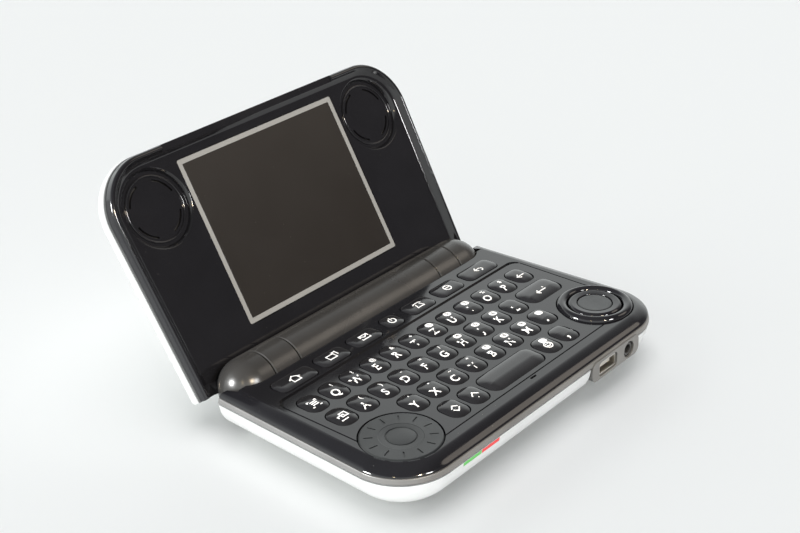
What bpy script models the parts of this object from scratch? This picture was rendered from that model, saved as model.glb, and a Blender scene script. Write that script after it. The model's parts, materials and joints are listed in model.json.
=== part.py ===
"""Clamshell messaging organiser with a letter keyboard, modelled open.

Frame: metres, +Z up. The origin is the middle of the flat underside of the base.
X runs along the hinge, -Y is the user's side and +Y is the hinge side.
Lengths below are in millimetres and are turned into metres when a mesh is made.
"""
import math

import bmesh
import bpy

MM = 0.001
GAP = 0.3                       # clearance between neighbouring pieces
OVERSHOOT = 1.0                 # cutters run this far past the surfaces they cut

# Overall body
HALF_WIDTH = 57.5               # widest half width, reached at the front corners
REAR_HALF_WIDTH = 55.2          # half width beside the hinge barrel
CORNER_X = 42.2                 # centre of the round front corners
CORNER_Y = -22.4
CORNER_R = HALF_WIDTH - CORNER_X
FRONT_Y = CORNER_Y - CORNER_R
EAR_Y = 28.7                    # rear end of the base, beside the barrel
DECK_Z = 15.5                   # keyboard deck
DECK_T = 1.6
WALL = 1.5
SEAM_Z = 13.2                   # parting line between fascia and side frame
FRAME_Z = 11.5                  # lower edge of the side frame

HALF_SEAM = GAP / 2             # each piece stops this far short of a parting line
RIM_BAND = (1.2, 1.35)          # foot of the deck's sloped rim: inset, depth below the deck
DECK_INSET = 3.8                # where the flat deck begins

# Groove round the letter keys
PANEL_R = 8.5                   # its front corners, round the dial centres
PANEL_REAR = 12.6
PANEL_REAR_R = 3.0
GROOVE_W = 0.4
GROOVE_REAR_W = 1.2
GROOVE_DEPTH = 0.45

# Sockets in the front of the base: places are x and z
USB_AT = (25.8, 9.5)
USB_W = 8.0
USB_H = 3.7
SOCKET_T = 0.4                  # wall of the metal shell
TONGUE = (5.2, 1.0)
JACK_AT = (35.9, 9.5)
JACK_R = 2.1
JACK_BORE_R = 1.3
SOCKET_DEPTH = 7.0
HOUSING = (29.5, 9.6, 22.6, 5.8)        # centre x, centre z, width, height
HOUSING_R = 2.0
HOUSING_PROUD = 0.3
HOUSING_DEPTH = 7.5

# Inside the base
COMPARTMENT = (0.0, -5.0, 56.0, 36.0)   # battery opening: centre x, y, width, depth
COVER_T = 1.4
BATTERY_Z = (1.9, 7.6)
BOARD_Z = (10.2, 11.2)
MAT_Z = (11.8, 12.9)

# Hinge
HINGE_Y = 29.7
HINGE_Z = 11.3
BARREL_R = 7.9
TROUGH_R = BARREL_R + GAP + 0.05
BARREL_BEND = 43.5              # where a barrel end starts to round over
BARREL_END = 51.5               # tip of the domed barrel ends
TIP_R = 1.0                     # the rounding turns about a circle of this radius
TIP_ANGLE = 78.0                # the rounding stops here, at a small flat tip
TROUGH_END = 51.9
KNUCKLE = (29.9, 39.1)          # the base's barrel segment on each side
PIN_R = 3.0
PIN = (24.0, 44.0)
OPEN_TILT = math.radians(30.0)  # lid leans back this far from upright

# Lid, in its own frame: x, depth behind the axis, height from the axis
FACE_Y = 5.1                    # inner face of the lid
LID_FOOT = 1.0
RIM_RISE = 1.7                  # rim stands this far proud of the face
BEZEL_T = 2.2
LID_SEAM_Y = 7.6
BACK_Y = 13.7
SCREEN_X = 30.5                 # half width of the display opening
SCREEN_Z = (12.8, 61.7)
DIAL_Z = HINGE_Y - CORNER_Y     # round recesses meet the wheel and ring when closed
RECESS_R = 11.0
RECESS_DEPTH = 1.3
SLOT_R = 7.8                    # speaker slots: ring radius, half width and sweep
SLOT_HALF = 0.35
SLOT_SWEEP = 50
SLOT_STARTS = (20, 110, 200, 290)
LIP_X = (-34.0, 32.5)           # thumb notch in the crest of the lid's front edge
EAR_RELIEF_X = (50.9, 53.4)     # the foot has no rim here, clear of the base's ears when closed
EAR_RELIEF_Z = 4.8
EAR_RELIEF_SUNK = 0.05          # its floor lies this far below the face
WINDOW_SUNK = 0.35              # the window lies this far below the face
PANEL_T = 2.4

# Keyboard grid
PITCH_X = 8.0
PITCH_Y = 9.9
GRID_X = -0.6                   # middle of the twelve columns
ROW_Y = 4.8                     # rear row of letters
KEY_W = 7.1                     # aperture of a letter key
KEY_H = 8.6
KEY_ROUND = 3.0
KEY_BOTTOM = 13.5
KEY_CROWN = DECK_Z + 0.5
KEY_SLOPE = 1.5                 # width of the sloped edge of a key top
KEY_TOP_ROUND = 0.6             # corners of the key top are rounder by this much
SKIRT_PROUD = 0.05              # the foot of that slope stands above the deck
FUNCTION_Y = 16.7
FUNCTION_H = 6.6
FUNCTION_ROUND = 2.2

# Round controls
DIAL_R = 10.6
OK_R = 7.6
RING_R = OK_R + GAP
TICKS = 12
TICK_R = (6.9, 9.3)
TICK_HALF = 0.25

# Smoothness of round shapes
ROUND = 32
SMALL_ROUND = 20

ROWS = (
    (0.0, ("menu", "q", "w", "e", "r", "t", "z", "u", "i", "o", "p", "backspace")),
    (0.0, ("app", "a", "s", "d", "f", "g", "h", "j", "k", "l")),
    (2.0, ("y", "x", "c", "v", "b", "n", "m", "period")),
    (2.5, ("alt", "cap")),
)
# name, column of its centre, row, number of columns it spans
EXTRA_KEYS = (
    ("enter", 10.5, 1, 2),
    ("space", 5.5, 3, 3),
    ("emoticon", 7.5, 3, 1),
    ("comma", 8.5, 3, 1),
)
# name, centre x, aperture width
FUNCTION_KEYS = (
    ("home", -38.9, 14.2),
    ("messages", -24.5, 11.1),
    ("mail", -11.5, 11.1),
    ("power", 0.0, 6.6),
    ("phone", 11.5, 11.1),
    ("browser", 24.5, 11.1),
    ("back", 38.9, 14.2),
)


# ---------------------------------------------------------------- materials
def make_material(name, colour, roughness, metallic=0.0):
    material = bpy.data.materials.new(name)
    material.use_nodes = True
    shader = material.node_tree.nodes["Principled BSDF"]
    shader.inputs["Base Color"].default_value = (*colour, 1.0)
    shader.inputs["Roughness"].default_value = roughness
    shader.inputs["Metallic"].default_value = metallic
    return material


def make_materials():
    return {
        "gloss_black": make_material("gloss_black", (0.018, 0.018, 0.02), 0.12),
        "satin_black": make_material("satin_black", (0.03, 0.029, 0.028), 0.35),
        "key_black": make_material("key_black", (0.02, 0.02, 0.022), 0.16),
        "dial_grey": make_material("dial_grey", (0.19, 0.2, 0.2), 0.4),
        "side_grey": make_material("side_grey", (0.24, 0.24, 0.235), 0.45),
        "shell_white": make_material("shell_white", (0.86, 0.86, 0.85), 0.4),
        "screen_glass": make_material("screen_glass", (0.03, 0.028, 0.025), 0.08),
        "board_green": make_material("board_green", (0.03, 0.16, 0.07), 0.5),
        "rubber_grey": make_material("rubber_grey", (0.2, 0.2, 0.2), 0.8),
        "battery_grey": make_material("battery_grey", (0.1, 0.1, 0.11), 0.5),
        "steel": make_material("steel", (0.62, 0.6, 0.56), 0.28, 1.0),
    }


# ---------------------------------------------------------------- outlines
def arc(cx, cy, radius, start, end, steps):
    """Points on an arc, angles in degrees, both ends included."""
    points = []
    for i in range(steps + 1):
        angle = math.radians(start + (end - start) * i / steps)
        points.append((cx + radius * math.cos(angle), cy + radius * math.sin(angle)))
    return points


def half_width(y):
    """Body half width at a place along Y: it narrows towards the hinge."""
    reach = max(0.0, (y - CORNER_Y) / (EAR_Y - CORNER_Y))
    return HALF_WIDTH + (REAR_HALF_WIDTH - HALF_WIDTH) * reach


def case_outline(inset, rear_y=EAR_Y, steps=6):
    """Plan of the body, counter-clockwise seen from above."""
    rear_x = half_width(rear_y) - inset
    radius = CORNER_R - inset
    points = [(rear_x, rear_y), (-rear_x, rear_y)]
    points += arc(-CORNER_X, CORNER_Y, radius, 180, 270, steps)
    points += arc(CORNER_X, CORNER_Y, radius, 270, 360, steps)
    return points


def rounded_rect(cx, cy, width, height, radius, steps=2):
    """Rounded rectangle, counter-clockwise."""
    x = width / 2 - radius
    y = height / 2 - radius
    points = arc(cx + x, cy + y, radius, 0, 90, steps)
    points += arc(cx - x, cy + y, radius, 90, 180, steps)
    points += arc(cx - x, cy - y, radius, 180, 270, steps)
    points += arc(cx + x, cy - y, radius, 270, 360, steps)
    return points


def level(outline, z):
    """An outline as a ring at height z."""
    return [(x, y, z) for x, y in outline]


def upright(outline, y):
    """An outline drawn in X and Z, at depth y behind the hinge axis."""
    return [(x, y, z) for x, z in outline]


def lid_outline(inset, steps=6):
    """Plan of the lid seen from behind, in x and height from the hinge axis."""
    foot = HINGE_Y - LID_FOOT - inset
    return [(x, HINGE_Y - y) for x, y in case_outline(inset, foot, steps)]


# ---------------------------------------------------------------- mesh makers
def finish_mesh(bm, name, material=None):
    """Turn a bmesh in millimetres into an object in metres."""
    bmesh.ops.scale(bm, vec=(MM, MM, MM), verts=bm.verts)
    bmesh.ops.recalc_face_normals(bm, faces=bm.faces)
    mesh = bpy.data.meshes.new(name)
    bm.to_mesh(mesh)
    bm.free()
    obj = bpy.data.objects.new(name, mesh)
    bpy.context.scene.collection.objects.link(obj)
    if material:
        mesh.materials.append(material)
        mesh.shade_smooth()
        mesh.set_sharp_from_angle(angle=math.radians(35))
    return obj


def add_loft(bm, rings, closed=False):
    """Skin a stack of rings; the ends are capped, or joined when closed."""
    loops = [[bm.verts.new(point) for point in ring] for ring in rings]
    pairs = list(zip(loops, loops[1:]))
    if closed:
        pairs.append((loops[-1], loops[0]))
    for lower, upper in pairs:
        count = len(lower)
        for i in range(count):
            j = (i + 1) % count
            bm.faces.new((lower[i], lower[j], upper[j], upper[i]))
    if not closed:
        bm.faces.new(loops[0][::-1])
        bm.faces.new(loops[-1])


def loft(name, rings, material=None, closed=False):
    bm = bmesh.new()
    add_loft(bm, rings, closed)
    return finish_mesh(bm, name, material)


def turn_rings(profile, centre, axis="z", segments=ROUND):
    """Rings of a turned shape; the profile is (radius, place along the axis)."""
    rings = []
    for radius, along in profile:
        ring = []
        for i in range(segments):
            angle = 2 * math.pi * i / segments
            a = radius * math.cos(angle)
            b = radius * math.sin(angle)
            if axis == "z":
                ring.append((centre[0] + a, centre[1] + b, along))
            else:
                ring.append((along, centre[0] + a, centre[1] + b))
        rings.append(ring)
    return rings


def rod(bm, x0, x1, radius, y, z, segments=ROUND):
    add_loft(bm, turn_rings(((radius, x0), (radius, x1)), (y, z), "x", segments))


def block(bm, x0, x1, y0, y1, z0, z1):
    corners = ((x0, y0), (x1, y0), (x1, y1), (x0, y1))
    add_loft(bm, [level(corners, z0), level(corners, z1)])


# ---------------------------------------------------------------- booleans
def make_tool(bm, name):
    tool = finish_mesh(bm, name)
    tool.hide_render = True
    tool.display_type = "WIRE"
    return tool


def apply_tool(obj, bm, name, operation="DIFFERENCE"):
    """Add an exact Boolean that cuts or joins the shapes in bm."""
    tool = make_tool(bm, f"tool_{name}")
    tool.parent = obj.parent
    modifier = obj.modifiers.new(name, "BOOLEAN")
    modifier.operation = operation
    modifier.solver = "EXACT"
    modifier.object = tool
    return tool


# ---------------------------------------------------------------- key layout
def column_x(column):
    return GRID_X + PITCH_X * (column - 5.5)


def row_y(row):
    return ROW_Y - PITCH_Y * row


def key_layout():
    """Every key as (name, x, y, aperture width, aperture height, corner radius)."""
    keys = []
    for row, (first, names) in enumerate(ROWS):
        for i, name in enumerate(names):
            place = (column_x(first + i), row_y(row))
            keys.append((f"key_{name}", *place, KEY_W, KEY_H, KEY_ROUND))
    for name, column, row, span in EXTRA_KEYS:
        width = KEY_W + PITCH_X * (span - 1)
        place = (column_x(column), row_y(row))
        keys.append((f"key_{name}", *place, width, KEY_H, KEY_ROUND))
    for name, x, width in FUNCTION_KEYS:
        keys.append((f"key_{name}", x, FUNCTION_Y, width, FUNCTION_H, FUNCTION_ROUND))
    return keys


def make_key(name, x, y, width, height, radius, material):
    """A key cap with a straight skirt and a crowned top, origin at its middle."""
    skirt_w = width - 2 * GAP
    skirt_h = height - 2 * GAP
    skirt_r = radius - GAP
    skirt = rounded_rect(0, 0, skirt_w, skirt_h, skirt_r)
    top_w = skirt_w - 2 * KEY_SLOPE
    top_h = skirt_h - 2 * KEY_SLOPE
    top = rounded_rect(0, 0, top_w, top_h, skirt_r - KEY_SLOPE + KEY_TOP_ROUND)
    rings = [
        level(skirt, KEY_BOTTOM),
        level(skirt, DECK_Z + SKIRT_PROUD),
        level(top, KEY_CROWN),
    ]
    key = loft(name, rings, material)
    key.location = (x * MM, y * MM, 0.0)
    return key


# ---------------------------------------------------------------- base
def make_fascia(keys, material):
    """Black upper case of the base: deck, sloped rim, skirt and two knuckles."""
    rings = [
        level(case_outline(2.6, EAR_Y - WALL), DECK_Z - DECK_T),
        level(case_outline(1.9, EAR_Y - WALL), SEAM_Z + HALF_SEAM),
        level(case_outline(0.4), SEAM_Z + HALF_SEAM),
        level(case_outline(RIM_BAND[0]), DECK_Z - RIM_BAND[1]),
        level(case_outline(DECK_INSET, EAR_Y - 0.4), DECK_Z),
    ]
    fascia = loft("base_top_case", rings, material)

    bm = bmesh.new()
    inner = KNUCKLE[0] - GAP
    outer = KNUCKLE[1] + GAP
    for x0, x1 in ((-TROUGH_END, -outer), (-inner, inner), (outer, TROUGH_END)):
        rod(bm, x0, x1, TROUGH_R, HINGE_Y, HINGE_Z)
    apply_tool(fascia, bm, "trough")

    bm = bmesh.new()
    for side in (-1, 1):
        ends = sorted((side * KNUCKLE[0], side * KNUCKLE[1]))
        rod(bm, *ends, BARREL_R, HINGE_Y, HINGE_Z)
    apply_tool(fascia, bm, "knuckles", "UNION")

    bm = bmesh.new()
    below = DECK_Z - DECK_T - OVERSHOOT
    above = DECK_Z + OVERSHOOT
    for _, x, y, width, height, radius in keys:
        aperture = rounded_rect(x, y, width, height, radius)
        add_loft(bm, [level(aperture, below), level(aperture, above)])
    for side in (-1, 1):
        centre = (side * CORNER_X, CORNER_Y)
        profile = ((DIAL_R + GAP, below), (DIAL_R + GAP, above))
        add_loft(bm, turn_rings(profile, centre))
    apply_tool(fascia, bm, "apertures")

    bm = bmesh.new()
    add_panel_groove(bm)
    for side in (-1, 1):
        ends = sorted((side * (PIN[0] - GAP), side * (PIN[1] + GAP)))
        rod(bm, *ends, PIN_R + GAP, HINGE_Y, HINGE_Z, SMALL_ROUND)
    apply_tool(fascia, bm, "groove_and_bores")
    return fascia


def add_panel_groove(bm):
    """A groove round the letter keys: broad behind them, fine on three sides."""
    rear_r = PANEL_REAR_R
    rings = []
    for inset, rear_inset in ((0.0, 0.0), (GROOVE_W, GROOVE_REAR_W)):
        x = CORNER_X + PANEL_R - inset - rear_r
        y = PANEL_REAR - rear_inset - rear_r
        outline = arc(x, y, rear_r, 0, 90, 2)
        outline += arc(-x, y, rear_r, 90, 180, 2)
        outline += arc(-CORNER_X, CORNER_Y, PANEL_R - inset, 180, 270, 3)
        outline += arc(CORNER_X, CORNER_Y, PANEL_R - inset, 270, 360, 3)
        rings.append(outline)
    floor = DECK_Z - GROOVE_DEPTH
    above = DECK_Z + 0.5
    outer, inner = rings
    stack = [level(outer, floor), level(outer, above), level(inner, above), level(inner, floor)]
    add_loft(bm, stack, closed=True)


def make_side_frame(material):
    """Grey band round the base, with the housing of the two sockets."""
    rings = [
        level(case_outline(0.0), FRAME_Z),
        level(case_outline(0.4), SEAM_Z - HALF_SEAM),
        level(case_outline(1.9, EAR_Y - WALL), SEAM_Z - HALF_SEAM),
        level(case_outline(1.9, EAR_Y - WALL), FRAME_Z),
    ]
    frame = loft("base_side_frame", rings, material, closed=True)

    bm = bmesh.new()
    outline = rounded_rect(*HOUSING, HOUSING_R, 3)
    add_loft(bm, [upright(outline, FRONT_Y - HOUSING_PROUD), upright(outline, FRONT_Y + HOUSING_DEPTH)])
    apply_tool(frame, bm, "port_housing", "UNION")

    bm = bmesh.new()
    rod(bm, -TROUGH_END, TROUGH_END, TROUGH_R, HINGE_Y, HINGE_Z)
    usb = rounded_rect(*USB_AT, USB_W + 2 * GAP, USB_H + 2 * GAP, 1.0, 2)
    jack = arc(*JACK_AT, JACK_R + GAP, 0, 360, SMALL_ROUND)[:-1]
    for outline in (usb, jack):
        ahead = upright(outline, FRONT_Y - OVERSHOOT)
        behind = upright(outline, FRONT_Y + HOUSING_DEPTH + OVERSHOOT)
        add_loft(bm, [ahead, behind])
    apply_tool(frame, bm, "ports_and_trough")
    return frame


def make_lower_case(material):
    """White dished shell under the base, open at the top and over the battery."""
    top = FRAME_Z - GAP
    rings = [
        level(case_outline(9.0, EAR_Y - 3.6), 1.6),
        level(case_outline(6.6, EAR_Y - 2.6), 3.4),
        level(case_outline(3.6, EAR_Y - 1.8), 6.0),
        level(case_outline(1.7, EAR_Y - 1.5), top),
        level(case_outline(0.1), top),
        level(case_outline(0.6), 8.4),
        level(case_outline(1.9, EAR_Y - 0.3), 6.0),
        level(case_outline(4.2, EAR_Y - 0.8), 3.8),
        level(case_outline(7.2, EAR_Y - 1.6), 1.9),
        level(case_outline(10.0, EAR_Y - 2.6), 0.6),
        level(case_outline(12.0, EAR_Y - 4.0), 0.0),
    ]
    shell = loft("base_lower_case", rings, material)

    bm = bmesh.new()
    rod(bm, -TROUGH_END, TROUGH_END, TROUGH_R, HINGE_Y, HINGE_Z)
    x, z, width, height = HOUSING
    reach = width / 2 + GAP
    floor = z - height / 2 - GAP
    rear = FRONT_Y + HOUSING_DEPTH + GAP
    block(bm, x - reach, x + reach, FRONT_Y - OVERSHOOT, rear, floor, FRAME_Z + OVERSHOOT)
    opening = rounded_rect(*COMPARTMENT, 3.0)
    add_loft(bm, [level(opening, -OVERSHOOT), level(opening, COVER_T + OVERSHOOT)])
    apply_tool(shell, bm, "openings")
    return shell


def make_battery_cover(material):
    x, y, width, depth = COMPARTMENT
    plan = rounded_rect(x, y, width - 2 * GAP, depth - 2 * GAP, 2.7)
    cover = loft("battery_cover", [level(plan, 0.0), level(plan, COVER_T)], material)
    bm = bmesh.new()
    for i in range(3):
        line_y = y + depth / 2 - 5.0 - 1.6 * i
        block(bm, x - 6.0, x + 6.0, line_y, line_y + 0.7, -OVERSHOOT, 0.4)
    apply_tool(cover, bm, "thumb_grooves")
    return cover


def make_battery(material):
    x, y, width, depth = COMPARTMENT
    plan = rounded_rect(x, y, width - 3.0, depth - 3.0, 2.0)
    return loft("battery_pack", [level(plan, z) for z in BATTERY_Z], material)


def make_board(material):
    """Main circuit board, notched clear of the two sockets."""
    plan = (
        (46.0, 20.5), (-46.0, 20.5), (-49.0, -18.0), (-36.0, -34.0),
        (16.0, -34.0), (16.0, -29.0), (38.0, -29.0), (49.0, -18.0),
    )
    return loft("main_board", [level(plan, z) for z in BOARD_Z], material)


def make_keypad_mat(material):
    """Rubber mat under the keys, broad at the rear and narrow between the dials."""
    plan = (
        (48.5, 20.5), (-48.5, 20.5), (-48.5, -10.4), (-30.8, -10.4),
        (-30.8, -29.6), (30.8, -29.6), (30.8, -10.4), (48.5, -10.4),
    )
    return loft("keypad_mat", [level(plan, z) for z in MAT_Z], material)


def make_usb_socket(material):
    """Metal socket shell, hollow at the front with a contact tongue."""
    front = FRONT_Y + 0.1
    back = front + SOCKET_DEPTH
    outer = rounded_rect(*USB_AT, USB_W, USB_H, 0.8, 2)
    inner = rounded_rect(*USB_AT, USB_W - 2 * SOCKET_T, USB_H - 2 * SOCKET_T, 0.4, 2)
    rings = [upright(inner, back - 1.0), upright(inner, front)]
    rings += [upright(outer, front), upright(outer, back)]
    socket = loft("usb_socket", rings, material)
    bm = bmesh.new()
    x, z = USB_AT
    half_w = TONGUE[0] / 2
    half_t = TONGUE[1] / 2
    block(bm, x - half_w, x + half_w, front + 1.0, back - 0.5, z - half_t, z + half_t)
    apply_tool(socket, bm, "tongue", "UNION")
    return socket


def make_audio_jack(material):
    """Headphone socket: a short tube with a blind bore."""
    front = FRONT_Y + 0.1
    back = front + SOCKET_DEPTH
    profile = (
        (JACK_BORE_R, back - 1.2), (JACK_BORE_R, front + 0.5), (JACK_R - 0.3, front),
        (JACK_R, front), (JACK_R, back),
    )
    rings = []
    for radius, y in profile:
        rings.append(upright(arc(*JACK_AT, radius, 0, 360, SMALL_ROUND)[:-1], y))
    return loft("audio_jack", rings, material)


# ---------------------------------------------------------------- round controls
def make_scroll_wheel(material):
    """Flat thumb wheel with twelve engraved ticks and a central disc."""
    top = DECK_Z + 0.1
    profile = (
        (3.0, 12.0), (3.0, 13.2), (DIAL_R - 0.5, 13.2), (DIAL_R, 13.6),
        (DIAL_R, top - 0.3), (DIAL_R - 0.3, top), (5.0, top), (5.0, top - 0.3),
        (4.6, top - 0.3), (4.6, top),
    )
    wheel = loft("scroll_wheel", turn_rings(profile, (0.0, 0.0)), material)
    wheel.location = (-CORNER_X * MM, CORNER_Y * MM, 0.0)
    bm = bmesh.new()
    inner, outer = TICK_R
    tick = ((inner, -TICK_HALF), (outer, -TICK_HALF), (outer, TICK_HALF), (inner, TICK_HALF))
    for i in range(TICKS):
        angle = 2 * math.pi * (i + 0.5) / TICKS
        c = math.cos(angle)
        s = math.sin(angle)
        turned = [(c * x - s * y, s * x + c * y) for x, y in tick]
        add_loft(bm, [level(turned, top - 0.3), level(turned, top + 0.5)])
    tool = apply_tool(wheel, bm, "ticks")
    tool.location = wheel.location
    return wheel


def make_nav_ring(material):
    """Raised four-way ring round the OK button."""
    profile = (
        (RING_R, 13.6), (RING_R, 16.1), (RING_R + 0.35, 16.45), (RING_R + 1.3, 16.8),
        (DIAL_R - 0.5, 16.5), (DIAL_R, 15.9), (DIAL_R, 13.6),
    )
    ring = loft("nav_ring", turn_rings(profile, (0.0, 0.0)), material, closed=True)
    ring.location = (CORNER_X * MM, CORNER_Y * MM, 0.0)
    return ring


def make_ok_button(material):
    """Central button: a flat disc in a glossy sloped collar."""
    profile = (
        (OK_R, 13.3), (OK_R, 16.0), (OK_R - 0.6, 16.5), (5.2, 16.35), (4.8, 16.1),
    )
    button = loft("ok_button", turn_rings(profile, (0.0, 0.0)), material)
    button.location = (CORNER_X * MM, CORNER_Y * MM, 0.0)
    return button


# ---------------------------------------------------------------- lid
def make_lid_axis():
    """Empty on the hinge axis that carries every piece of the lid."""
    axis = bpy.data.objects.new("lid_axis", None)
    bpy.context.scene.collection.objects.link(axis)
    axis.location = (0.0, HINGE_Y * MM, HINGE_Z * MM)
    axis.rotation_euler = (-OPEN_TILT, 0.0, 0.0)
    return axis


def barrel_end_profile():
    """Bullet-shaped barrel end: straight, then rounded to a small flat tip."""
    start = KNUCKLE[1] + GAP
    profile = [(BARREL_R, start), (BARREL_R, BARREL_BEND)]
    steps = 5
    full = math.radians(TIP_ANGLE)
    for i in range(1, steps + 1):
        angle = full * i / steps
        radius = TIP_R + (BARREL_R - TIP_R) * math.cos(angle)
        reach = math.sin(angle) / math.sin(full)
        profile.append((radius, BARREL_BEND + (BARREL_END - BARREL_BEND) * reach))
    return profile


def make_bezel(axis, material):
    """Black inner half of the lid, with the lid's own part of the hinge barrel."""
    crest = FACE_Y - RIM_RISE
    rings = [
        upright(lid_outline(2.8), FACE_Y + BEZEL_T),
        upright(lid_outline(1.8), LID_SEAM_Y - HALF_SEAM),
        upright(lid_outline(0.3), LID_SEAM_Y - HALF_SEAM),
        upright(lid_outline(0.3), crest + 0.5),
        upright(lid_outline(0.7), crest),
        upright(lid_outline(1.4), crest),
        upright(lid_outline(3.7), FACE_Y),
    ]
    bezel = loft("lid_front_bezel", rings, material)
    bezel.parent = axis

    bm = bmesh.new()
    for side in (-1, 1):
        ends = sorted((side * (KNUCKLE[0] - GAP), side * (KNUCKLE[1] + GAP)))
        rod(bm, *ends, TROUGH_R, 0.0, 0.0)
    opening = rounded_rect(0, sum(SCREEN_Z) / 2, 2 * SCREEN_X, SCREEN_Z[1] - SCREEN_Z[0], 0.8)
    behind = FACE_Y + BEZEL_T + OVERSHOOT
    add_loft(bm, [upright(opening, FACE_Y - OVERSHOOT), upright(opening, behind)])
    for side in (-1, 1):
        disc = arc(side * CORNER_X, DIAL_Z, RECESS_R, 0, 360, ROUND)[:-1]
        floor = FACE_Y + RECESS_DEPTH
        add_loft(bm, [upright(disc, FACE_Y - OVERSHOOT), upright(disc, floor)])
    lip_top = HINGE_Y - FRONT_Y
    ahead = crest - OVERSHOOT
    block(bm, *LIP_X, ahead, crest + 0.8, lip_top - 3.0, lip_top + OVERSHOOT)
    for side in (-1, 1):
        ends = sorted(side * x for x in EAR_RELIEF_X)
        block(bm, *ends, ahead, FACE_Y + EAR_RELIEF_SUNK, 0.0, EAR_RELIEF_Z)
    apply_tool(bezel, bm, "openings")

    bm = bmesh.new()
    inner = KNUCKLE[0] - GAP
    rod(bm, -inner, inner, BARREL_R, 0.0, 0.0)
    for side in (-1, 1):
        profile = [(radius, side * x) for radius, x in barrel_end_profile()]
        add_loft(bm, turn_rings(profile, (0.0, 0.0), "x"))
    apply_tool(bezel, bm, "barrel", "UNION")

    bm = bmesh.new()
    for side in (-1, 1):
        ends = sorted((side * (PIN[0] - GAP), side * (PIN[1] + GAP)))
        rod(bm, *ends, PIN_R + GAP, 0.0, 0.0, SMALL_ROUND)
        add_speaker_slots(bm, side * CORNER_X)
    apply_tool(bezel, bm, "bores_and_slots")
    return bezel


def add_speaker_slots(bm, centre_x):
    """Four arc slots in a ring through the floor of a recess."""
    for start in SLOT_STARTS:
        end = start + SLOT_SWEEP
        outline = arc(centre_x, DIAL_Z, SLOT_R + SLOT_HALF, start, end, 4)
        outline += arc(centre_x, DIAL_Z, SLOT_R - SLOT_HALF, end, start, 4)
        ends = (FACE_Y + 0.5, FACE_Y + BEZEL_T + OVERSHOOT)
        add_loft(bm, [upright(outline, y) for y in ends])


def make_display(axis, material):
    """Display module: a window in the opening and the panel behind the bezel."""
    width = 2 * (SCREEN_X - GAP)
    height = SCREEN_Z[1] - SCREEN_Z[0] - 2 * GAP
    middle = sum(SCREEN_Z) / 2
    window = rounded_rect(0, middle, width, height, 0.5, 1)
    panel = rounded_rect(0, middle, width + 2.6, height + 1.6, 1.0, 1)
    step = FACE_Y + BEZEL_T + GAP
    rings = [
        upright(window, FACE_Y + WINDOW_SUNK),
        upright(window, step),
        upright(panel, step),
        upright(panel, step + PANEL_T),
    ]
    display = loft("display_module", rings, material)
    display.parent = axis
    return display


def make_lid_cover(axis, material):
    """White back of the lid: a shallow dish with soft edges."""
    rings = [
        upright(lid_outline(6.0), BACK_Y - 1.4),
        upright(lid_outline(3.0), BACK_Y - 2.4),
        upright(lid_outline(1.8), BACK_Y - 4.2),
        upright(lid_outline(1.8), LID_SEAM_Y + HALF_SEAM),
        upright(lid_outline(0.2), LID_SEAM_Y + HALF_SEAM),
        upright(lid_outline(0.0), BACK_Y - 4.6),
        upright(lid_outline(0.6), BACK_Y - 2.7),
        upright(lid_outline(2.2), BACK_Y - 1.2),
        upright(lid_outline(4.6), BACK_Y - 0.35),
        upright(lid_outline(8.0), BACK_Y),
    ]
    cover = loft("lid_rear_cover", rings, material)
    cover.parent = axis
    bm = bmesh.new()
    rod(bm, -TROUGH_END, TROUGH_END, TROUGH_R, 0.0, 0.0)
    apply_tool(cover, bm, "barrel_clearance")
    return cover


def make_hinge_units(material):
    """A steel friction hinge through each knuckle."""
    for side, name in ((-1, "left"), (1, "right")):
        bm = bmesh.new()
        ends = sorted((side * PIN[0], side * PIN[1]))
        rod(bm, *ends, PIN_R, 0.0, 0.0, SMALL_ROUND)
        unit = finish_mesh(bm, f"hinge_unit_{name}", material)
        unit.location = (0.0, HINGE_Y * MM, HINGE_Z * MM)


# ---------------------------------------------------------------- assembly
def clear_scene():
    for obj in list(bpy.data.objects):
        bpy.data.objects.remove(obj)


def build():
    clear_scene()
    materials = make_materials()
    keys = key_layout()

    make_lower_case(materials["shell_white"])
    make_side_frame(materials["side_grey"])
    make_fascia(keys, materials["gloss_black"])
    make_battery_cover(materials["shell_white"])
    make_battery(materials["battery_grey"])
    make_board(materials["board_green"])
    make_keypad_mat(materials["rubber_grey"])
    make_usb_socket(materials["steel"])
    make_audio_jack(materials["satin_black"])

    for key in keys:
        make_key(*key, materials["key_black"])
    make_scroll_wheel(materials["dial_grey"])
    make_nav_ring(materials["gloss_black"])
    make_ok_button(materials["dial_grey"])

    axis = make_lid_axis()
    make_bezel(axis, materials["gloss_black"])
    make_display(axis, materials["screen_glass"])
    make_lid_cover(axis, materials["shell_white"])
    make_hinge_units(materials["steel"])


build()
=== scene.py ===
"""The looks of the clamshell organiser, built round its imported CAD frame.

Shapes are made in millimetres and turned into metres when a mesh is finished.
A lid piece is made in the lid's own frame: x, depth behind the hinge axis, height.
"""
import json
import math

import bmesh
import bpy
from mathutils import Matrix, Vector


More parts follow.
